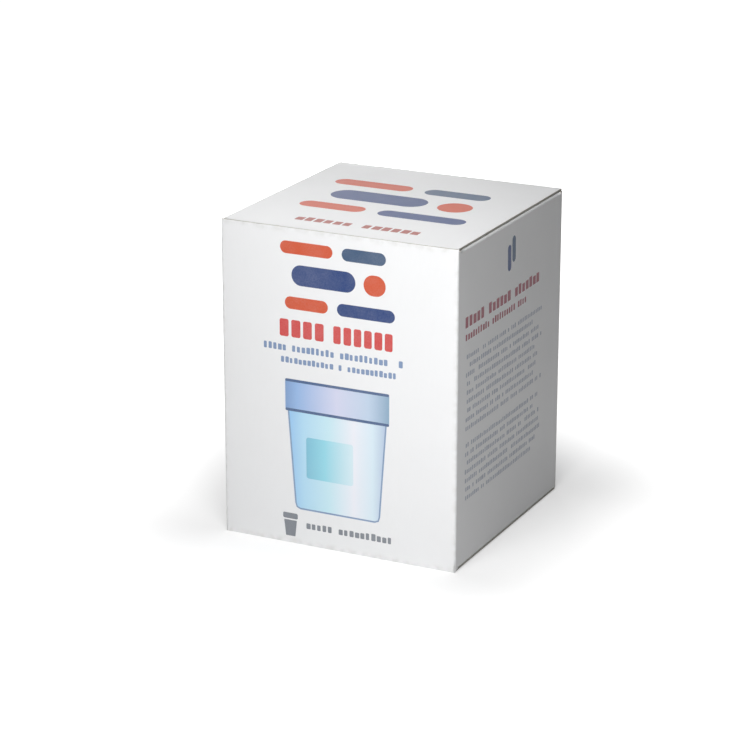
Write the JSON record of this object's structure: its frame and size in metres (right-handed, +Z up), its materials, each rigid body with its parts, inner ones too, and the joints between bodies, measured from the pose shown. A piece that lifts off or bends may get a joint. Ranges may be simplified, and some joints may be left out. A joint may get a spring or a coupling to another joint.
{
  "type": "specimen container carton",
  "caption": "Folding board carton with a tuck-in lid at each end, holding a cup with a screw cap for specimens.",
  "frame": {"origin": "middle of the base, on the surface that the carton stands on", "axes": "+Z up, -Y out of the front panel, +X out of the right side panel"},
  "size_m": [0.068, 0.068, 0.0863],
  "materials": {
    "printed_board": "satin",
    "cup_plastic": "gloss",
    "cap_plastic": "gloss",
    "label_paper": "matte"
  },
  "bodies": {
    "carton": {"carton_body": "printed_board", "specimen_cup": "cup_plastic", "screw_cap": "cap_plastic", "cup_label": "label_paper"},
    "upper_lid": {"top_lid": "printed_board"},
    "lower_lid": {"bottom_lid": "printed_board"}
  },
  "joints": [
    {"name": "top_lid_hinge", "type": "hinge", "parent": "carton", "child": "upper_lid", "pos_m": [0, 0.03375, 0.08605], "axis": [-1, 0, 0], "range_deg": [0, 180]},
    {"name": "bottom_lid_hinge", "type": "hinge", "parent": "carton", "child": "lower_lid", "pos_m": [0, 0.03375, 0.00025], "axis": [1, 0, 0], "range_deg": [0, 180]}
  ]
}
